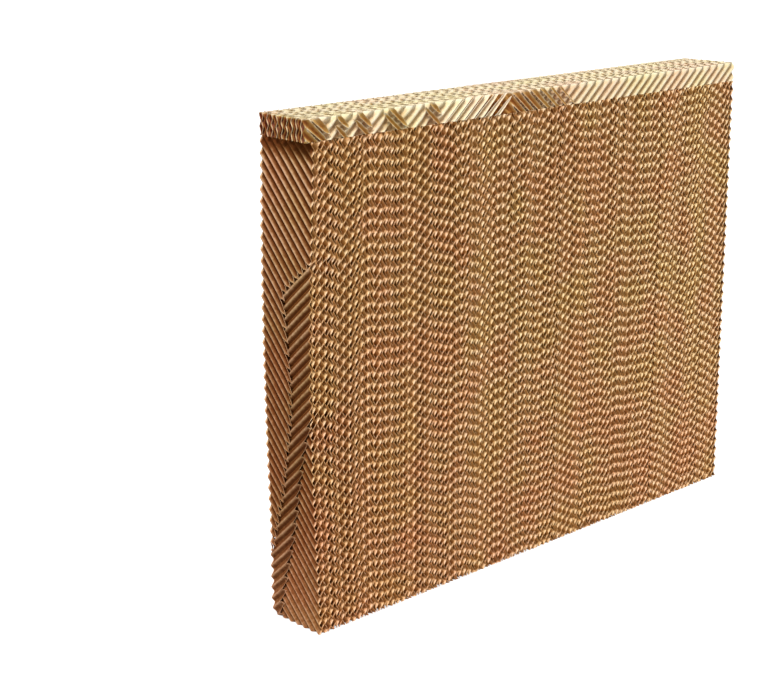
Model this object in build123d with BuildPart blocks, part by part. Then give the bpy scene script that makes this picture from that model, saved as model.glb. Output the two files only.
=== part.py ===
"""Evaporative cooler pad: a block of fluted paper sheets under a shallow spreader strip.

The block's sheets stand on end, one behind the other along the width (X). Their flutes climb
towards the front on one sheet and towards the back on the next, so that they touch only where
crests cross. The spreader lies along the top edge. Its sheets run the other way, parallel to
the pad's front face, and it overhangs the block a little at the left end.

Origin: middle of the pad's base. X is the width, Y the depth (front face at -Y), Z is up.
"""

from build123d import *
from math import ceil, cos, radians, sin, sqrt
import os

# Driving dimensions, in millimetres and degrees
layer_pitch = 5.25  # one sheet, crest to crest
block_flute_rise = 16.0  # one flute of the block to the next, along the height
spreader_flute_run = 19.0  # one flute of the spreader to the next, along the length
paper = 0.5  # thickness of the paper
layer_gap = 0.1  # clear space left between the crests of neighbouring sheets
block_layers = 174  # sheets across the width
spreader_layers = 19  # spreader sheets through the depth
block_height = 672.0
spreader_height = 30.0
rising_flute_angle = 41.5  # block flutes that climb towards the front
falling_flute_angle = 47.5  # block flutes that climb towards the back
spreader_flute_angle = 40.0  # spreader flutes, either way
overhang = 8.0  # spreader past the block's left end, at the front corner
left_layers = 3  # sheets modelled with their flutes at the left end of the block
right_layers = 2  # the same at the right end
face_layers = 2  # the same at the spreader's front, and at its back
slot_width = 1.5  # gap between sheets where they show on the faces of a core
slot_depth = 6.0
cut_gap = 0.3  # between two sheets that a face of the pad cuts through side by side

# What follows from them
width = block_layers * layer_pitch
depth = spreader_layers * layer_pitch
flute_height = layer_pitch - layer_gap
length = width + overhang
right = length / 2
left = right - width
front = -depth / 2
spreader_floor = block_height + layer_gap
spreader_top = spreader_floor + spreader_height

# Where the left end cuts through its three outermost sheets, as shares of depth and height
upper_cut = [(0.0, 0.77), (0.31, 0.735), (0.56, 0.69), (0.42, 0.5), (0.47, 0.41), (0.65, 0.3), (1.0, 0.13)]
lower_cut = [(0.0, 0.46), (0.18, 0.375), (0.42, 0.225), (0.68, 0.095), (0.82, 0.0)]

# Where the front face cuts through the spreader's two outermost sheets, as shares of the length
falling_start = 0.034
falling_end = 0.343
second_cut = 0.457
third_cut = 0.553


def wall_across(half_pitch):
    """Wall of the zigzag measured across the sheet, so that its thickness square to the paper is right."""
    share = (paper / half_pitch) ** 2
    spare = flute_height * share
    return (sqrt(spare**2 + (1 - share) * (paper**2 + flute_height * spare)) - spare) / (1 - share)


def flute_outline(pitch, span, shift):
    """Corners of a sheet seen along its flutes: a zigzag wall long enough to cover the span."""
    half_pitch = pitch / 2
    wall = wall_across(half_pitch)
    turns = 2 * ceil(span / pitch / 2 + 1)
    over = []
    under = []
    for turn in range(-turns, turns + 1):
        across = turn * half_pitch + shift * pitch
        middle = (flute_height - wall) / 2 * (1 if turn % 2 else -1)
        over.append((across, middle + wall / 2))
        under.append((across, middle - wall / 2))
    return over + under[::-1]


def fluted_sheet(middle, normal, run, zigzag, side, corners, inset, reach):
    """One sheet: the zigzag drawn square to its flutes, run out along them, cut to its corners."""
    across = normal.cross(run)
    with BuildPart() as sheet:
        with BuildSketch(Plane(origin=middle, x_dir=across, z_dir=run)):
            with BuildLine():
                Polyline(*zigzag, close=True)
            make_face()
        extrude(amount=reach, both=True)
        with BuildSketch(Plane(origin=middle, x_dir=side, z_dir=normal)):
            with BuildLine():
                Polyline(*corners, close=True)
            make_face()
            if inset:
                offset(amount=-inset, kind=Kind.INTERSECTION)
        extrude(amount=layer_pitch, both=True, mode=Mode.INTERSECT)
    return sheet.part


def block_sheet(layer, rising, corners=None, shift=0.0):
    """A sheet of the block, in the plane of Y and Z. A rising one climbs towards the front."""
    angle = radians(rising_flute_angle if rising else falling_flute_angle)
    middle = Vector(left + (layer + 0.5) * layer_pitch, 0, block_height / 2)
    run = Vector(0, -cos(angle) if rising else cos(angle), sin(angle))
    points = corners or [(0, 0), (1, 0), (1, 1), (0, 1)]
    drawn = [((share_y - 0.5) * depth, (share_z - 0.5) * block_height) for share_y, share_z in points]
    inset = cut_gap / 2 if corners else 0
    pitch = block_flute_rise * cos(angle)
    zigzag = flute_outline(pitch, depth * sin(angle) + block_height * cos(angle), shift)
    reach = depth * cos(angle) / 2 + block_height * sin(angle) / 2 + pitch
    return fluted_sheet(middle, Vector(1, 0, 0), run, zigzag, Vector(0, 1, 0), drawn, inset, reach)


def spreader_left(layer):
    """Left end of a spreader sheet: the strip is cut a little askew there."""
    return -length / 2 + overhang * layer / (spreader_layers - 1)


def spreader_sheet(layer, rising, corners=None, shift=0.0):
    """A sheet of the spreader, in the plane of X and Z. A rising one climbs to the right."""
    angle = radians(spreader_flute_angle)
    start = spreader_left(layer)
    middle = Vector(0, front + (layer + 0.5) * layer_pitch, spreader_floor + spreader_height / 2)
    run = Vector(cos(angle) if rising else -cos(angle), 0, sin(angle))
    points = corners or [(0, 0), (1, 0), (1, 1), (0, 1)]
    drawn = [
        (-(start + share_x * (right - start)), (share_z - 0.5) * spreader_height)
        for share_x, share_z in points
    ]
    inset = cut_gap / 2 if corners else 0
    pitch = spreader_flute_run * sin(angle)
    zigzag = flute_outline(pitch, length * sin(angle) + spreader_height * cos(angle), shift)
    reach = length * cos(angle) / 2 + spreader_height * sin(angle) / 2 + pitch
    return fluted_sheet(middle, Vector(0, 1, 0), run, zigzag, Vector(-1, 0, 0), drawn, inset, reach)


os.makedirs("parts", exist_ok=True)

# Left end of the block: the end face cuts three sheets, one showing above the other
falling_top = upper_cut + [(1.0, 1.0), (0.0, 1.0)]
rising_middle = upper_cut[::-1] + lower_cut + [(1.0, 0.0)]
falling_foot = lower_cut[::-1] + [(0.0, 0.0)]
falling = [block_sheet(0, False, falling_top), block_sheet(0, False, falling_foot, 0.4)]
rising = [block_sheet(0, True, rising_middle)]
for layer in range(1, left_layers):
    if layer % 2:
        rising.append(block_sheet(layer, True, shift=0.3 * layer))
    else:
        falling.append(block_sheet(layer, False, shift=0.3 * layer))

# Right end of the block: whole sheets
for layer in range(block_layers - right_layers, block_layers):
    if layer % 2:
        rising.append(block_sheet(layer, True, shift=0.2))
    else:
        falling.append(block_sheet(layer, False, shift=0.6))

with BuildPart() as block_sheets_rising:
    add(rising)
with BuildPart() as block_sheets_falling:
    add(falling)

# The sheets between: one core, with the gaps between sheets cut round its four open faces
core_layers = block_layers - left_layers - right_layers
core_width = core_layers * layer_pitch - layer_gap
core_middle = left + (left_layers + core_layers / 2) * layer_pitch
with BuildPart() as block_slot:
    with BuildSketch(Plane.YZ.offset(core_middle - slot_width / 2)):
        with Locations((0, block_height / 2)):
            Rectangle(depth + slot_width, block_height + slot_width)
            Rectangle(depth - 2 * slot_depth, block_height - 2 * slot_depth, mode=Mode.SUBTRACT)
    extrude(amount=slot_width)
with BuildPart() as block_core:
    with Locations((core_middle, 0, 0)):
        Box(core_width, depth, block_height, align=(Align.CENTER, Align.CENTER, Align.MIN))
    with GridLocations(layer_pitch, layer_pitch, core_layers - 1, 1):
        add(block_slot.part, mode=Mode.SUBTRACT)

# Spreader: its front face cuts two sheets, so their flutes show in turn along it
back_layer = spreader_layers - 1
falling_left = [(0, 0), (falling_start, 0), (falling_end, 1), (0, 1)]
rising_left = [(falling_start, 0), (second_cut, 0), (second_cut, 1), (falling_end, 1)]
falling_mid = [(second_cut, 0), (third_cut, 0), (third_cut, 1), (second_cut, 1)]
rising_right = [(third_cut, 0), (1, 0), (1, 1), (third_cut, 1)]
with BuildPart() as spreader_sheets_rising:
    add(spreader_sheet(0, True, rising_left))
    add(spreader_sheet(0, True, rising_right, 0.2))
    add(spreader_sheet(back_layer, True, shift=0.5))
with BuildPart() as spreader_sheets_falling:
    add(spreader_sheet(0, False, falling_left))
    add(spreader_sheet(0, False, falling_mid, 0.3))
    add(spreader_sheet(1, False, shift=0.6))
    add(spreader_sheet(back_layer - 1, False, shift=0.1))

spreader_core_layers = spreader_layers - 2 * face_layers
core_front = front + face_layers * layer_pitch + layer_gap / 2
with BuildPart() as spreader_slot:
    with BuildSketch(Plane.XZ.offset(-slot_width / 2)):
        with Locations((0, spreader_floor + spreader_height / 2)):
            Rectangle(length + slot_width, spreader_height + slot_width)
            Rectangle(length - 4 * slot_depth, spreader_height - 2 * slot_depth, mode=Mode.SUBTRACT)
    extrude(amount=slot_width)
with BuildPart() as spreader_core:
    with BuildSketch(Plane.XY.offset(spreader_floor)):
        with BuildLine():
            Polyline(
                (spreader_left(face_layers), core_front),
                (right, core_front),
                (right, -core_front),
                (spreader_left(back_layer - face_layers), -core_front),
                close=True,
            )
        make_face()
    extrude(amount=spreader_height)
    with GridLocations(layer_pitch, layer_pitch, 1, spreader_core_layers - 1):
        add(spreader_slot.part, mode=Mode.SUBTRACT)

block_core.part.label = "block_core"
export_step(block_core.part, "parts/block_core.step")
block_sheets_rising.part.label = "block_sheets_rising"
export_step(block_sheets_rising.part, "parts/block_sheets_rising.step")
block_sheets_falling.part.label = "block_sheets_falling"
export_step(block_sheets_falling.part, "parts/block_sheets_falling.step")
spreader_core.part.label = "spreader_core"
export_step(spreader_core.part, "parts/spreader_core.step")
spreader_sheets_rising.part.label = "spreader_sheets_rising"
export_step(spreader_sheets_rising.part, "parts/spreader_sheets_rising.step")
spreader_sheets_falling.part.label = "spreader_sheets_falling"
export_step(spreader_sheets_falling.part, "parts/spreader_sheets_falling.step")
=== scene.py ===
# %% [markdown]
# An evaporative cooler pad, sheet by sheet. Water runs down a block of fluted kraft paper while
# air blows through it. The looks of such a pad come almost wholly from its sheets: where a face
# of the block cuts across them, their wavy edges make rows of small bright and dark cells. They
# could be painted on a plain box, but a painted cell neither catches light nor hides what is
# behind it. So this lesson builds every sheet as a real wavy sheet, and lets light do most of the
# rest; the paper finishes paint some further light and shade into the flutes and onto the edges.

# %% The imported frame
import bmesh
import bpy
import math
import random
import numpy as np
from mathutils import Matrix, Vector


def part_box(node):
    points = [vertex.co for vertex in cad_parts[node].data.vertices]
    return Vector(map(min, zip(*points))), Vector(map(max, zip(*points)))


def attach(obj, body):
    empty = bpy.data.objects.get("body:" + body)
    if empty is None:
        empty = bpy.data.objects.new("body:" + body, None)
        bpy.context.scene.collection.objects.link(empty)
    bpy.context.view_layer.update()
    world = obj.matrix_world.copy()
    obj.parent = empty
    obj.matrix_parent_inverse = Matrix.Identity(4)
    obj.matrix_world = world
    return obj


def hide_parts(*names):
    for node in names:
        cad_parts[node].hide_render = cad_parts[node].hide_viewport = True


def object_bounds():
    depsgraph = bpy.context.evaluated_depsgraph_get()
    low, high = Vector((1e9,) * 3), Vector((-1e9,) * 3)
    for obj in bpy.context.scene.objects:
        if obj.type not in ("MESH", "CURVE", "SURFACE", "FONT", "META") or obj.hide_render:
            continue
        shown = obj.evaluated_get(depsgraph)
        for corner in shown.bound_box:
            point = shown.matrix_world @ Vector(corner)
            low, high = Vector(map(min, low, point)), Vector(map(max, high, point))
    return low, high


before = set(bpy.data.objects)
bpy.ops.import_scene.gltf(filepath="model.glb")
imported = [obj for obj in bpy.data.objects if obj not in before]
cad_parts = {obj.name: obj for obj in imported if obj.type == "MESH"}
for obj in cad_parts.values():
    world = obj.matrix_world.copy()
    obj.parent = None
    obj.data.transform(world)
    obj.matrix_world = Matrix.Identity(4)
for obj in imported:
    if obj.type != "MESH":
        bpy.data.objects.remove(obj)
cad_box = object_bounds()
MM = 0.001
print("CAD box", cad_box)

# %% [markdown]
# Its place was solved from the pad's corners: it stands a little above the top edge, some 2.5 m
# away, and looks along the diagonal between the front face and the left end. A bpy camera looks
# along its own -Z with Y up, so three directions at right angles make its matrix.

# %% The camera
PICTURE_WIDTH = 768  # pixels
FOCAL_LENGTH = 1731  # pixels
camera_place = Vector((-1.8869, -1.6650, 1.0024))
camera_azimuth = math.radians(44.04)
camera_drop = math.radians(15.24)
camera_roll = math.radians(-0.28)

forward = Vector((
    math.cos(camera_drop) * math.sin(camera_azimuth),
    math.cos(camera_drop) * math.cos(camera_azimuth),
    -math.sin(camera_drop),
))
level_right = Vector((math.cos(camera_azimuth), -math.sin(camera_azimuth), 0))
level_up = level_right.cross(forward)
right = level_right * math.cos(camera_roll) + level_up * math.sin(camera_roll)
up = right.cross(forward)

camera_data = bpy.data.cameras.new("camera")
camera_data.sensor_width = 36
camera_data.lens = FOCAL_LENGTH / PICTURE_WIDTH * camera_data.sensor_width
camera = bpy.data.objects.new("camera", camera_data)
camera.matrix_world = Matrix.Translation(camera_place) @ Matrix((right, up, -forward)).transposed().to_4x4()
bpy.context.collection.objects.link(camera)
bpy.context.scene.camera = camera
print("lens", round(camera_data.lens, 1), "mm")

# %% [markdown]
# The sizes come from the frame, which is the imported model, and from the paper. The block is as
# long as its CAD nodes together, and the spreader strip lies on top of it. The sheets are 5.25 mm
# high from crest to crest, because a whole number of them fills both the width and the depth.
# A sheet's paper stands proud of its middle surface, so everything keeps a hair's breadth
# inside the CAD box.

# %% Sizes of the block, the spreader and the paper
LAYER = 5.25 * MM  # one sheet, crest to crest
PAPER = 0.5 * MM
SKIN = 0.45 * MM  # how far a sheet's middle surface stays inside the box
TUCK = 0.36 * MM  # the outermost crests lie this much deeper, so that the saw leaves them whole
BLOCK_FLUTE = 16.0 * MM  # from flute to flute up a sheet of the block
SPREADER_FLUTE = 19.0 * MM  # the same along a sheet of the spreader
RISING = math.tan(math.radians(41.5))  # how far a flute climbs for each step through the depth
FALLING = math.tan(math.radians(47.5))
SPREADER_RUN = 1 / math.tan(math.radians(40))  # how far a spreader flute runs for each step up

block_low, block_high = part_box("block_core")
spreader_low, spreader_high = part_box("spreader_core")
front, back = cad_box[0][1], cad_box[1][1]
left, right_end = cad_box[0][0], cad_box[1][0]
block_top = block_high[2]
spreader_floor, spreader_top = spreader_low[2], spreader_high[2]
depth = back - front
block_sheets = 174
block_left = right_end - block_sheets * LAYER
print("block", block_sheets, "sheets, spreader", round(depth / LAYER), "sheets")

# %% [markdown]
# One sheet of paper is a flat grid whose rows are pushed to and fro in a wave. The grid is a
# parallelogram, so that its lines follow the flutes, which climb across the sheet. Where the
# block is sawn off, bisect_plane trims the sheet, and solidify gives it the paper's thickness.
# The shape is worked out on a sheet that lies along its own three directions: across (the short
# side), along (the long side) and out (from sheet to sheet). A vertex attribute keeps how near a
# point is to a saw cut: a finish uses it to paint highlights on the crests that the cut leaves and
# shade in the grooves behind them.

# %% A wavy sheet
STEPS = 8  # faces in one flute
POINTED = -0.05  # a little of the third harmonic makes crests and troughs less round
SCRAP = 120 * MM * MM


def drop_scraps(sheet):
    """Delete islands of paper that a saw cut has left behind and that are too small to hold."""
    seen = set()
    scraps = []
    for first in sheet.faces:
        if first in seen:
            continue
        seen.add(first)
        island = [first]
        for face in island:
            for edge in face.edges:
                for other in edge.link_faces:
                    if other not in seen:
                        seen.add(other)
                        island.append(other)
        if sum(face.calc_area() for face in island) < SCRAP:
            scraps += island
    bmesh.ops.delete(sheet, geom=scraps, context="FACES")


def wavy_sheet(across, along, rows, lean, bow, flute, phase, saw=None, far=None, squash=None):
    """A bmesh of one sheet, in (across, along, out). bow gives the height of its middle surface.
    lean is how far its flutes run along for each step across. saw, if given, is a height
    below which the sheet is cut away, and far one above which it is. squash gives how much
    of the flutes' height is left at a place along the sheet."""
    shift = abs(lean) * (across[1] - across[0]) / 2
    start = along[0] - shift - flute
    flutes = math.ceil((along[1] + shift + flute - start) / flute)
    middle = (across[0] + across[1]) / 2
    sheet = bmesh.new()
    cut_nearness = sheet.verts.layers.float.new("cut_nearness")
    bmesh.ops.create_grid(sheet, x_segments=rows, y_segments=flutes * STEPS, size=0.5)
    swing = (LAYER - PAPER) / 2
    for v in sheet.verts:
        a = across[0] + (v.co.x + 0.5) * (across[1] - across[0])
        flat = start + (v.co.y + 0.5) * flutes * flute
        l = flat + lean * (a - middle)
        turn = 2 * math.pi * (flat / flute + phase)
        wave = math.sin(turn) + POINTED * math.sin(3 * turn)
        v.co = (a, l, bow(a, l) + swing * wave * (squash(l) if squash else 1))
    for edge, outward in ((along[0], -1), (along[1], 1)):
        everything = sheet.verts[:] + sheet.edges[:] + sheet.faces[:]
        bmesh.ops.bisect_plane(
            sheet, geom=everything, plane_co=(0, edge, 0), plane_no=(0, outward, 0), clear_outer=True
        )
    if saw:
        for v in sheet.verts:
            v.co.z -= saw(v.co.x, v.co.y)
        everything = sheet.verts[:] + sheet.edges[:] + sheet.faces[:]
        bmesh.ops.bisect_plane(
            sheet, geom=everything, plane_co=(0, 0, SKIN), plane_no=(0, 0, -1), clear_outer=True
        )
        for v in sheet.verts:
            v[cut_nearness] = max(0.0, 1 - (v.co.z - SKIN) / LAYER)
            v.co.z += saw(v.co.x, v.co.y)
        drop_scraps(sheet)
    if far is not None:
        for v in sheet.verts:
            v[cut_nearness] = max(v[cut_nearness], 1 - (far - SKIN - v.co.z) / LAYER)
        everything = sheet.verts[:] + sheet.edges[:] + sheet.faces[:]
        bmesh.ops.bisect_plane(
            sheet, geom=everything, plane_co=(0, 0, far - SKIN), plane_no=(0, 0, 1), clear_outer=True
        )
    if not sheet.faces:
        return sheet
    bmesh.ops.recalc_face_normals(sheet, faces=sheet.faces)
    bmesh.ops.solidify(sheet, geom=sheet.faces[:], thickness=PAPER)
    bmesh.ops.recalc_face_normals(sheet, faces=sheet.faces)
    return sheet


# %% [markdown]
# Several sheets make one object. Each is turned from its own directions into the pad's, then
# added to the object's mesh. The paper is smooth along its flutes and sharp at its cut edges,
# so faces are shaded smooth and only edges with a steep turn are marked sharp. A second
# attribute, tone, is one random number for each sheet, because no two sheets took up quite the
# same amount of resin.

# %% Gathering sheets into one piece
SHARP = math.radians(70)
tone_draw = random.Random(3)


def new_piece(name, sheets, to_pad, nodes):
    """One object of all these sheets. to_pad is the matrix from a sheet's directions to the pad's."""
    joined = bmesh.new()
    joined.verts.layers.float.new("cut_nearness")
    joined.verts.layers.float.new("tone")
    single = bpy.data.meshes.new(name + "_single")
    for sheet in sheets:
        tone = sheet.verts.layers.float.new("tone")
        shade = tone_draw.random()
        for v in sheet.verts:
            v[tone] = shade
        sheet.transform(to_pad)
        if to_pad.determinant() < 0:
            bmesh.ops.reverse_faces(sheet, faces=sheet.faces[:])
        sheet.to_mesh(single)
        joined.from_mesh(single)
        sheet.free()
    bpy.data.meshes.remove(single)
    for face in joined.faces:
        face.smooth = True
    for edge in joined.edges:
        edge.smooth = len(edge.link_faces) == 2 and edge.calc_face_angle(0) < SHARP
    mesh = bpy.data.meshes.new(name)
    joined.to_mesh(mesh)
    joined.free()
    piece = bpy.data.objects.new(name, mesh)
    bpy.context.collection.objects.link(piece)
    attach(piece, "root")
    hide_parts(*nodes)
    triangles = sum(len(p.vertices) - 2 for p in mesh.polygons)
    print(name, len(sheets), "sheets", triangles, "triangles")
    return piece


# %% [markdown]
# The left end was sawn where the outer sheets bow, so the saw cut passes from one sheet into the
# next: three sheets show on it, one below the other, and their flutes meet in herringbones. The
# end is also hollow a little at mid-height. Both are described as heights over the end, with a
# few points each: a modeller would trace such a line with a curve, and np.interp is that curve.

# %% The left end's hollow and the sheets that it cuts
HOLLOW_FRONT = 10.6 * MM
HOLLOW_BACK = 6.0 * MM
end_corner = left + 11.0 * MM

# Where the saw cut passes from sheet to sheet: height on the end, then place through the depth
upper_heights = (0.125, 0.145, 0.17, 0.205, 0.24, 0.27, 0.295, 0.33, 0.39, 0.44, 0.48, 0.52, 0.56, 0.63, 0.665,
                 0.688, 0.704, 0.733, 0.752, 0.77, 0.80)
upper_places = (1.6, 0.97, 0.91, 0.84, 0.77, 0.69, 0.65, 0.60, 0.51, 0.44, 0.42, 0.42, 0.45, 0.50, 0.53,
                0.56, 0.51, 0.31, 0.14, 0.0, -0.5)
lower_heights = (-0.05, 0.03, 0.095, 0.155, 0.225, 0.295, 0.375, 0.46, 0.55)
lower_places = (0.86, 0.78, 0.68, 0.56, 0.42, 0.32, 0.18, 0.0, -0.5)
CUT_BLUR = 0.028  # how gently the sheets bow where the cut leaves one, as a share of the depth
EARLY = 0.035  # how much earlier the sheet behind comes up, so that no hole is left at the meeting
BOWED = 36  # sheets that the bow at the end reaches into
WORN = 4 * MM  # how far the foot's back corner is worn away
WORN_HEIGHT = 26 * MM


def end_face(y, z):
    """How far out the left end stands at this place."""
    place = (y - front) / depth
    height = z / block_top
    hollow = HOLLOW_FRONT + (HOLLOW_BACK - HOLLOW_FRONT) * place
    peak = 0.5 + 0.15 * place
    shape = max(0.0, 1 - ((height - peak) / 0.48) ** 2) ** 1.3
    corner = max(0.0, 1 - z / WORN_HEIGHT) ** 2 * max(0.0, place) ** 2
    return end_corner - hollow * shape + WORN * corner


def sheets_cut(y, z, number):
    """How many sheets the saw has taken off here, from 0 to 2, as sheet number's middle feels it."""
    place = (y - front) / depth
    height = z / block_top
    first = np.interp(height, upper_heights, upper_places) + (EARLY if number >= 1 else 0)
    second = np.interp(height, lower_heights, lower_places) + (EARLY if number >= 2 else 0)
    blur = CUT_BLUR * (1 + max(0, number - 2) * 0.6)
    return 1 + 0.5 * math.tanh((first - place) / blur) + 0.5 * math.tanh((second - place) / blur)


# %% [markdown]
# All sheets are cut from one endless fluted web, so from one sheet to the next the flutes are
# shifted by what the cut length leaves over. That shift stays much the same for a few sheets
# and then jumps, which is why the rows of cells on the front run level, climb or break up by
# turns. A short random walk gives it. Each sheet is also stretched by up to a hundredth.

# %% How the flutes of neighbouring sheets are shifted
JUMP = 0.4  # chance that the shift changes from one sheet to the next of its kind
SHIFT = 0.24  # how large it usually is, in flutes
STRETCH = 0.008


def shifts(count, seed):
    """For each sheet of one kind, its phase in flutes and its own flute length."""
    draw = random.Random(seed)
    phase, step = draw.random(), draw.gauss(0, SHIFT)
    drawn = []
    for _ in range(count):
        drawn.append((phase, BLOCK_FLUTE * (1 + draw.uniform(-STRETCH, STRETCH))))
        step = draw.gauss(0, SHIFT) if draw.random() < JUMP else step + draw.uniform(-0.08, 0.08)
        phase += step
    return drawn


falling_shifts = shifts(100, 7)
rising_shifts = shifts(100, 11)
print("first falling phases", [round(p % 1, 2) for p, _ in falling_shifts[:6]])

# %% [markdown]
# Now the block: 174 sheets between the end face and the right end, and one half hidden behind
# the end face. Only the outermost sheets need many rows across, because only they bend. All
# others are straight along their flutes, so one row of long faces is enough, which keeps the
# object light.

# %% The block's sheets
across_block = (front + SKIN, back - SKIN)
block_to_pad = Matrix(((0, 0, 1, 0), (1, 0, 0, 0), (0, 1, 0, 0), (0, 0, 0, 1)))


def block_sheet(number):
    falling = number % 2 == 0
    lean = FALLING if falling else -RISING
    phase, flute = (falling_shifts if falling else rising_shifts)[number // 2]
    flat = block_left + TUCK + (number - 0.5) * (LAYER - 2 * TUCK / block_sheets)
    share = max(0.0, 1 - number / BOWED) ** 2 * (1 + 2 * number / BOWED)

    def bow(y, z):
        if not share:
            return flat
        return flat + share * (end_face(y, z) - block_left - LAYER * (sheets_cut(y, z, number) - 1))

    saw = end_face if number < 3 else None
    rows = 24 if saw else 10 if number < 8 else 4 if share else 1
    far = right_end if number > block_sheets - 2 else None
    return wavy_sheet(across_block, (SKIN, block_top), rows, lean, bow, flute, phase, saw, far)


groups = {}
for number in range(block_sheets + 1):
    side = "block_left" if number < 36 else "block_mid" if number < 106 else "block_right"
    kind = "falling" if number % 2 == 0 else "rising"
    groups.setdefault(side + "_" + kind, []).append(block_sheet(number))
block_pieces = []
for name, sheets in groups.items():
    node = "block_sheets_falling" if name.endswith("falling") else "block_sheets_rising"
    block_pieces.append(new_piece(name, sheets, block_to_pad, ["block_core", node]))

# %% [markdown]
# The spreader strip lies across the block's sheets. Its front face cuts through its outer sheets
# a little askew, and to and fro: where it has taken half a sheet, strips of its far side are
# left with open cavities between them, and where it has taken a whole one, the next sheet's
# flutes come to the surface leaning the other way. So the strip shows a zigzag of flutes at the
# left, then long runs of one kind.

# %% Where the front cuts the spreader's sheets
# Millimetres from the strip's left end, then how many sheets the front face has cut away there
cut_places = (0, 36, 42, 52, 58, 71, 77, 86, 92, 111, 117, 138, 144, 175, 182, 214, 220, 241, 247,
              335, 360, 380, 392, 440, 460, 495, 520, 535, 922)
cut_sheets = (0.0, 0.3, 1.0, 1.0, 0.4, 0.4, 1.0, 1.0, 0.4, 0.4, 1.0, 1.0, 0.45, 0.45, 1.0, 1.0, 0.45, 0.45, 1.05,
              1.05, 1.45, 1.6, 2.15, 2.3, 2.55, 2.6, 2.8, 3.0, 3.0)
WIGGLE_DEPTH = 8  # sheets over which the to and fro of the cut dies out


def spreader_cut(x, number):
    """How many sheets the front face has cut away here, as sheet number's middle feels it."""
    place = (x - left) / MM
    cut = np.interp(place, cut_places, cut_sheets)
    steady = np.interp(place, (0, 40, 250, 400, 535, 922), (0, 0.8, 1.0, 2.2, 3.0, 3.0))
    return steady + (cut - steady) * max(0.0, 1 - number / WIGGLE_DEPTH)


# %% The spreader's sheets
across_spreader = (spreader_floor, spreader_top - SKIN)
spreader_to_pad = Matrix(((0, 1, 0, 0), (0, 0, 1, 0), (1, 0, 0, 0), (0, 0, 0, 1)))
END_SKEW = 0.42 * MM  # how much each sheet's left end stands back from the one before it
SQUASHED = 22 * MM  # over this length the flutes get flatter towards the left end
spreader_draw = random.Random(5)


def spreader_sheet(number):
    lean = -SPREADER_RUN if number % 2 == 0 else SPREADER_RUN
    phase = spreader_draw.random()
    start = left + SKIN + number * END_SKEW

    def bow(z, x):
        return front + TUCK + LAYER * (number + 0.5 - spreader_cut(x, number))

    def saw(z, x):
        return front

    def squash(x):
        return 1 if number == 0 else min(1.0, 0.4 + 0.6 * max(0.0, x - start) / SQUASHED)

    rows = 5 if number < 5 else 1
    along = (start, right_end - SKIN)
    return wavy_sheet(across_spreader, along, rows, lean, bow, SPREADER_FLUTE, phase, saw, back, squash)


spreader_groups = {"falling": [], "rising": []}
for number in range(23):
    spreader_groups["falling" if number % 2 == 0 else "rising"].append(spreader_sheet(number))
spreader_pieces = {
    kind: new_piece(
        "spreader_" + kind, sheets, spreader_to_pad, ["spreader_core", "spreader_sheets_" + kind]
    )
    for kind, sheets in spreader_groups.items()
}

# %% [markdown]
# Paper finishes. The pad is kraft paper stiffened with resin: matt and brown. Inside the flutes it
# is painted darker and redder, a painted shade, and along every sawn edge paler, partly where
# fibres are torn open and partly a painted highlight. Each of these is a mask made from Object
# coordinates or an attribute, so it stays on the pad from any side. The pad was dried standing on
# its foot, so the resin that ran down leaves the foot redder. A soft noise then shifts the hue in
# patches, a fine one is the fibre, and both reach the bump and the roughness too.

# %% Small helpers for node trees


def new_finish(name):
    """A material with its node tree, its shader and a function that adds a node to it."""
    material = bpy.data.materials.new(name)
    material.use_nodes = True
    tree = material.node_tree

    def node(kind, **settings):
        made = tree.nodes.new("ShaderNode" + kind)
        for key, value in settings.items():
            setattr(made, key, value)
        return made

    return material, tree, tree.nodes["Principled BSDF"], node


def ramp(node, stops):
    """A colour ramp with these (position, colour) stops."""
    made = node("ValToRGB")
    elements = made.color_ramp.elements
    while len(elements) < len(stops):
        elements.new(0.5)
    for element, (position, colour) in zip(elements, stops):
        element.position = position
        element.color = (*colour, 1)
    return made


def noise(tree, node, where, scale, detail):
    made = node("TexNoise")
    made.inputs["Scale"].default_value = scale
    made.inputs["Detail"].default_value = detail
    tree.links.new(where, made.inputs["Vector"])
    return made.outputs["Fac"]


def remap(tree, node, value, low, high, to_low, to_high):
    made = node("MapRange")
    for name, number in (("From Min", low), ("From Max", high), ("To Min", to_low), ("To Max", to_high)):
        made.inputs[name].default_value = number
    tree.links.new(value, made.inputs["Value"])
    return made.outputs["Result"]


def combine(tree, node, kind, one, other):
    made = node("Math", operation=kind)
    for socket, value in zip(made.inputs, (one, other)):
        if isinstance(value, (int, float)):
            socket.default_value = value
        else:
            tree.links.new(value, socket)
    return made.outputs["Value"]


def tint(tree, node, colour, other, factor=None, kind="MULTIPLY"):
    """colour, mixed with other in this way."""
    made = node("Mix", data_type="RGBA", blend_type=kind)
    made.inputs[0].default_value = 1.0
    if factor is not None:
        tree.links.new(factor, made.inputs[0])
    tree.links.new(colour, made.inputs[6])
    tree.links.new(other, made.inputs[7])
    return made.outputs[2]


def facing_up(tree, node, low, high):
    """0 to 1 as a surface faces more and more up, measured on the sheet's own normal."""
    split = node("SeparateXYZ")
    tree.links.new(node("NewGeometry").outputs["Normal"], split.inputs[0])
    return remap(tree, node, split.outputs["Z"], low, high, 0, 1)


# %% [markdown]
# All papers share their fibre, their bump and the way their hue wanders, so one function builds
# those. It is given a colour. That colour comes from a ramp, which a mask drives: the mask says
# how open to light a place is, from 0 deep in a flute to 1 on a sawn edge, so the ramp paints
# shade into the flutes and light onto the edges, where torn fibres are paler too.

# %% What all papers share
FIBRE = 900  # the fibre noise's scale, per metre
CRINKLE = 190
PATCH = 15


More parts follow.
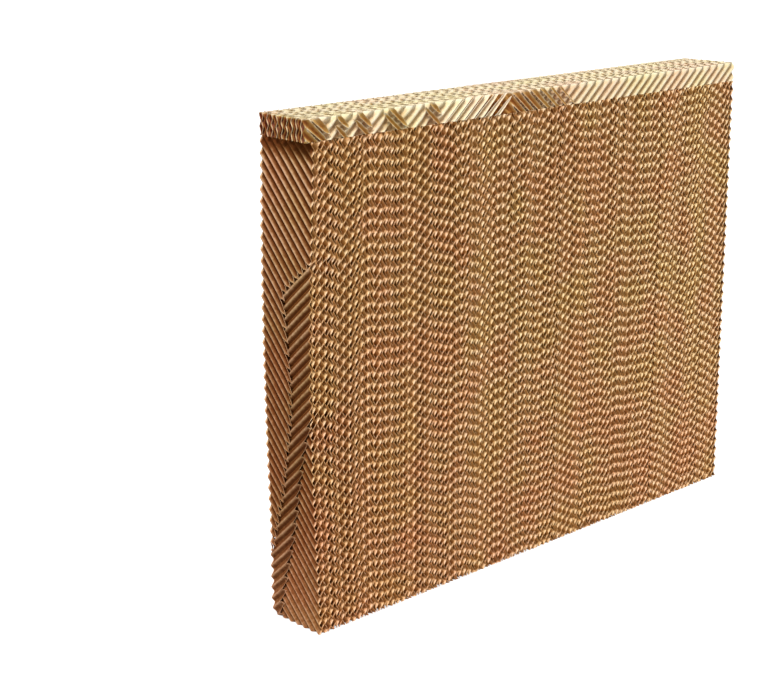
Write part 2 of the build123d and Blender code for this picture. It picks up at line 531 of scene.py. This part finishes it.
def painted_light_colour(tree, node, where, openness, colours):
    """The colour for this openness, from painted shade to painted light, broken up a little by the crinkles."""
    crinkle = noise(tree, node, where, CRINKLE, 3)
    mottled_openness = combine(tree, node, "ADD", openness, remap(tree, node, crinkle, 0.3, 0.7, -0.1, 0.1))
    base = ramp(node, colours)
    tree.links.new(mottled_openness, base.inputs["Fac"])
    return base.outputs["Color"]


def shaded(tree, node, colour, mask, dark, light):
    """The colour, multiplied by dark where the mask is 0 and by light where it is 1."""
    shade = ramp(node, [(0.0, dark), (1.0, light)])
    tree.links.new(mask, shade.inputs["Fac"])
    return tint(tree, node, colour, shade.outputs["Color"])


def paper_surface(tree, node, shader, where, colour, shine):
    tone = node("Attribute", attribute_name="tone").outputs["Fac"]
    patches = noise(tree, node, where, PATCH, 2)
    fibre = noise(tree, node, where, FIBRE, 3)
    crinkle = noise(tree, node, where, CRINKLE, 3)
    hue = ramp(node, [(0.36, (1.0, 0.90, 0.89)), (0.5, (1, 1, 1)), (0.64, (0.98, 1.0, 0.88))])
    tree.links.new(patches, hue.inputs["Fac"])
    colour = tint(tree, node, colour, hue.outputs["Color"])
    colour = shaded(tree, node, colour, tone, (0.88, 0.86, 0.84), (1.0, 1.0, 1.0))
    torn = remap(tree, node, fibre, 0.35, 0.6, 0, 1)
    colour = shaded(tree, node, colour, torn, (0.84, 0.81, 0.77), (1.0, 1.0, 1.0))
    tree.links.new(colour, shader.inputs["Base Color"])
    tree.links.new(remap(tree, node, fibre, 0.3, 0.7, 0.72, 0.95), shader.inputs["Roughness"])
    shader.inputs["Specular IOR Level"].default_value = shine
    height = combine(tree, node, "ADD", combine(tree, node, "MULTIPLY", crinkle, 0.7),
                     combine(tree, node, "MULTIPLY", fibre, 0.3))
    bump = node("Bump")
    bump.inputs["Strength"].default_value = 0.6
    bump.inputs["Distance"].default_value = 0.4 * MM
    tree.links.new(height, bump.inputs["Height"])
    tree.links.new(bump.outputs["Normal"], shader.inputs["Normal"])


# %% [markdown]
# The block's paper has two looks. Where the front and back faces were sawn, the flanks that face
# up are painted pale and fuzzy, a painted highlight that makes the bright dots, and the flutes
# behind are painted darker, a painted shade. The left end was sawn along its sheets and is
# browner, with painted pale crests and grooves painted dark as shade, darkest just under the
# spreader, where its shadow is painted. The foot and the left side are a little redder all over.

# %% The block's paper
EDGE_REACH = 7 * MM  # how deep the pale edge of a sawn face, partly torn fibre and partly painted light, fades into the flutes, which are painted darker as shade
SHADOW_REACH = 26 * MM  # how far the painted shadow under the spreader's overhang reaches down the left end
block_paper, tree, shader, node = new_finish("block_paper")
where = node("TexCoord").outputs["Object"]
split = node("SeparateXYZ")
tree.links.new(where, split.inputs[0])
x, y, z = split.outputs
from_middle = combine(tree, node, "ABSOLUTE", y, 0)
# Painted light and shade on the sawn faces: pale near the face and on flanks that face up, a painted highlight
# that makes the bright dots, and darker and redder deeper in the flutes, a painted shade.
at_face = remap(tree, node, from_middle, depth / 2 - EDGE_REACH, depth / 2 - 1.5 * MM, 0.0, 1.0)
upward = facing_up(tree, node, 0.0, 0.6)
openness = combine(tree, node, "MULTIPLY", at_face, remap(tree, node, upward, 0, 1, 0.3, 1.05))
face_colour = painted_light_colour(tree, node, where, openness, [
    (0.0, (0.46, 0.20, 0.045)),
    (0.35, (0.66, 0.36, 0.13)),
    (0.7, (0.80, 0.52, 0.26)),
    (1.0, (0.92, 0.73, 0.48)),
])

# Painted light on the left end: the crests that the saw cut leaves are painted pale, a painted highlight, and
# the grooves behind them dark, a painted shade. This is scaled by height, dimmest about a third of the way up
# and brightest near the top, and lifted towards the foot.
cut_nearness = node("Attribute", attribute_name="cut_nearness").outputs["Fac"]
on_end = remap(tree, node, cut_nearness, 0.02, 0.10, 0, 1)
behind_face = remap(tree, node, from_middle, depth / 2 - 3 * MM, depth / 2 - 1 * MM, 1, 0)
lit = combine(tree, node, "MULTIPLY", cut_nearness, remap(tree, node, upward, 0, 1, 1.2, 1.0))
end_height_scale = ramp(node, [(0.0, (0.80,) * 3), (0.3, (0.71,) * 3), (0.6, (0.74,) * 3), (0.9, (0.93,) * 3)])
tree.links.new(remap(tree, node, z, 0, block_top, 0, 1), end_height_scale.inputs["Fac"])
lit = combine(tree, node, "MULTIPLY", lit, end_height_scale.outputs["Color"])
lit = combine(tree, node, "MAXIMUM", lit, remap(tree, node, z, 0, 0.3, 0.64, 0.2))
# A painted shadow: the left end is darkened just under the spreader's overhang.
overhang_shadow = remap(tree, node, z, block_top - SHADOW_REACH, block_top - 6 * MM, 1.0, 0.35)
end_colour = painted_light_colour(tree, node, where, combine(tree, node, "MULTIPLY", lit, overhang_shadow), [
    (0.0, (0.13, 0.036, 0.004)),
    (0.42, (0.15, 0.05, 0.010)),
    (0.62, (0.27, 0.13, 0.045)),
    (0.85, (0.52, 0.34, 0.185)),
    (1.0, (0.68, 0.48, 0.30)),
])
end_mask = combine(tree, node, "MULTIPLY", on_end, behind_face)
colour = tint(tree, node, face_colour, end_colour, end_mask, "MIX")
low = remap(tree, node, z, 0, 0.36, 0.38, 0.0)
far_left = remap(tree, node, x, left, left + 0.4, 0.34, 0.0)
redder = combine(tree, node, "ADD", low, far_left)
colour = shaded(tree, node, colour, redder, (1.0, 1.0, 1.0), (1.0, 0.74, 0.70))
paper_surface(tree, node, shader, where, colour, 0.1)
for piece in block_pieces:
    piece.data.materials.append(block_paper)

# %% [markdown]
# The spreader's sheets lean their flutes two ways by turns, and each kind gets its own copy of one
# paper with the light on it painted in: a shaded, golden copy and a lit, pale one. On the front
# face the shaded ones show only a thin pale edge, a painted highlight, along a flute painted dark
# as shade, the lit ones are painted bright all over. At the left end, where the strip was sawn
# across its sheets, the lit sheets show as thin pale lines and the shaded ones stay darker between
# them, and just inside the end the open flutes are painted dark as shade. The top is painted
# paler, as light from above. Dust greys every edge that faces straight up.

# %% The spreader's papers
TOP_REACH = 14 * MM
TOP_EDGE = 3 * MM
END_REACH = 14 * MM  # how far the painted shade in the left end's open flutes goes in
CUT_EDGE = 1.8 * MM


def spreader_finish(name, front_from, front_low, end_line, colours):
    """A finish for one kind of spreader sheet, with light painted in. On the front, openness goes from
    front_low, where the nearness to the cut is front_from or less, up to a full pale edge, a painted
    highlight. end_line is the openness of the left end's cut lines."""
    material, tree, shader, node = new_finish(name)
    where = node("TexCoord").outputs["Object"]
    split = node("SeparateXYZ")
    tree.links.new(where, split.inputs[0])
    x, y, z = split.outputs
    cut_nearness = node("Attribute", attribute_name="cut_nearness").outputs["Fac"]
    skew = combine(tree, node, "MULTIPLY", y, END_SKEW / LAYER)
    from_end = combine(tree, node, "SUBTRACT", x, skew)
    end = left - front * END_SKEW / LAYER
    # Painted shade: just inside the left end the open flutes are painted dark; the cut lines at the end itself
    # stay pale.
    inside_end = remap(tree, node, from_end, end + 3 * MM, end + END_REACH, 0, 1)
    cut_line = remap(tree, node, from_end, end + SKIN, end + CUT_EDGE, end_line, 0)
    # Painted light on the front: the crests that the cut leaves are painted pale, a painted highlight, and the
    # grooves behind them darker, a painted shade.
    behind_front = remap(tree, node, y, front + 3 * MM, front + 7 * MM, 1, 0)
    at_front = combine(
        tree, node, "MULTIPLY",
        remap(tree, node, cut_nearness, front_from, 1.0, front_low, 0.95),
        combine(tree, node, "MAXIMUM", inside_end, behind_front),
    )
    # Painted light from above: paler towards the top, and palest along the top edge.
    at_top = remap(tree, node, z, spreader_top - TOP_REACH, spreader_top, 0.2, 1.0)
    top_edge = remap(tree, node, z, spreader_top - TOP_EDGE, spreader_top - SKIN, 0.0, 1.0)
    openness = combine(tree, node, "MULTIPLY", at_top, inside_end)
    for other in (at_front, top_edge, cut_line):
        openness = combine(tree, node, "MAXIMUM", openness, other)
    colour = painted_light_colour(tree, node, where, openness, colours)
    dusty = facing_up(tree, node, 0.7, 0.95)
    colour = shaded(tree, node, colour, dusty, (1.0, 1.0, 1.0), (0.68, 0.67, 0.66))
    paper_surface(tree, node, shader, where, colour, 0.2)
    return material


# Two copies of one paper with the light painted in: a shaded, golden copy for the falling sheets and a lit, pale
# copy for the rising sheets.
shaded_spreader_paper = spreader_finish("shaded_spreader_paper", 0.4, 0.25, 0.35, [
    (0.0, (0.21, 0.042, 0.016)),
    (0.3, (0.42, 0.17, 0.03)),
    (0.8, (0.64, 0.39, 0.12)),
    (1.0, (0.95, 0.84, 0.60)),
])
lit_spreader_paper = spreader_finish("lit_spreader_paper", 0.0, 0.3, 0.6, [
    (0.0, (0.23, 0.07, 0.035)),
    (0.4, (0.70, 0.47, 0.24)),
    (0.75, (0.84, 0.70, 0.46)),
    (1.0, (0.93, 0.85, 0.65)),
])
spreader_pieces["falling"].data.materials.append(shaded_spreader_paper)
spreader_pieces["rising"].data.materials.append(lit_spreader_paper)

# %% [markdown]
# The floor and the ground behind it are plain white, as in the photograph. A white floor would
# throw light up into every cell, so it is white only to the camera and a mid grey to the
# light that bounces, and it keeps a faint shadow of the pad.

# %% The floor
FLOOR_GLOW = 0.72
bpy.ops.mesh.primitive_plane_add(size=60, location=(0, 0, 0))
floor = bpy.context.object
floor.name = "floor"
floor_paint, tree, shader, node = new_finish("floor_paint")
shader.inputs["Base Color"].default_value = (0.42, 0.42, 0.42, 1)
shader.inputs["Roughness"].default_value = 0.9
shader.inputs["Emission Color"].default_value = (1, 1, 1, 1)
rays = node("LightPath")
mirrored = combine(tree, node, "MAXIMUM", rays.outputs["Is Glossy Ray"], rays.outputs["Is Transmission Ray"])
seen = combine(tree, node, "MAXIMUM", rays.outputs["Is Camera Ray"], mirrored)
tree.links.new(combine(tree, node, "MULTIPLY", seen, FLOOR_GLOW), shader.inputs["Emission Strength"])
floor.data.materials.append(floor_paint)

# %% [markdown]
# The light is that of a big lamp above the pad, a little to its front and left, with a pale sky
# all round. The top then catches most of it, the front less and the left end least, and the
# flutes shade themselves from above. A weak lamp low behind the pad keeps its back and its
# right end readable from there. The sky is white only to the camera.

# %% Light
SKY = 0.45
world = bpy.data.worlds.new("studio")
bpy.context.scene.world = world
world.use_nodes = True
tree = world.node_tree
background = tree.nodes["Background"]
background.inputs["Color"].default_value = (1, 1, 1, 1)
rays = tree.nodes.new("ShaderNodeLightPath")
seen = rays.outputs["Is Camera Ray"]
for ray in ("Is Glossy Ray", "Is Transmission Ray"):
    either = tree.nodes.new("ShaderNodeMath")
    either.operation = "MAXIMUM"
    tree.links.new(seen, either.inputs[0])
    tree.links.new(rays.outputs[ray], either.inputs[1])
    seen = either.outputs["Value"]
strength = tree.nodes.new("ShaderNodeMapRange")
strength.inputs["To Min"].default_value = SKY
strength.inputs["To Max"].default_value = 1.0
tree.links.new(seen, strength.inputs["Value"])
tree.links.new(strength.outputs["Result"], background.inputs["Strength"])

def add_lamp(name, strength, toward):
    """A large distant lamp that stands in this direction from the pad."""
    lamp_data = bpy.data.lights.new(name, "SUN")
    lamp_data.energy = strength
    lamp_data.angle = math.radians(18)
    lamp = bpy.data.objects.new(name, lamp_data)
    lamp.matrix_world = Vector(toward).to_track_quat("Z", "Y").to_matrix().to_4x4()
    bpy.context.collection.objects.link(lamp)


add_lamp("lamp", 3.6, (-0.45, -0.35, 1.0))
add_lamp("fill", 1.1, (0.55, 0.75, 0.2))
bpy.context.scene.view_settings.view_transform = "Standard"
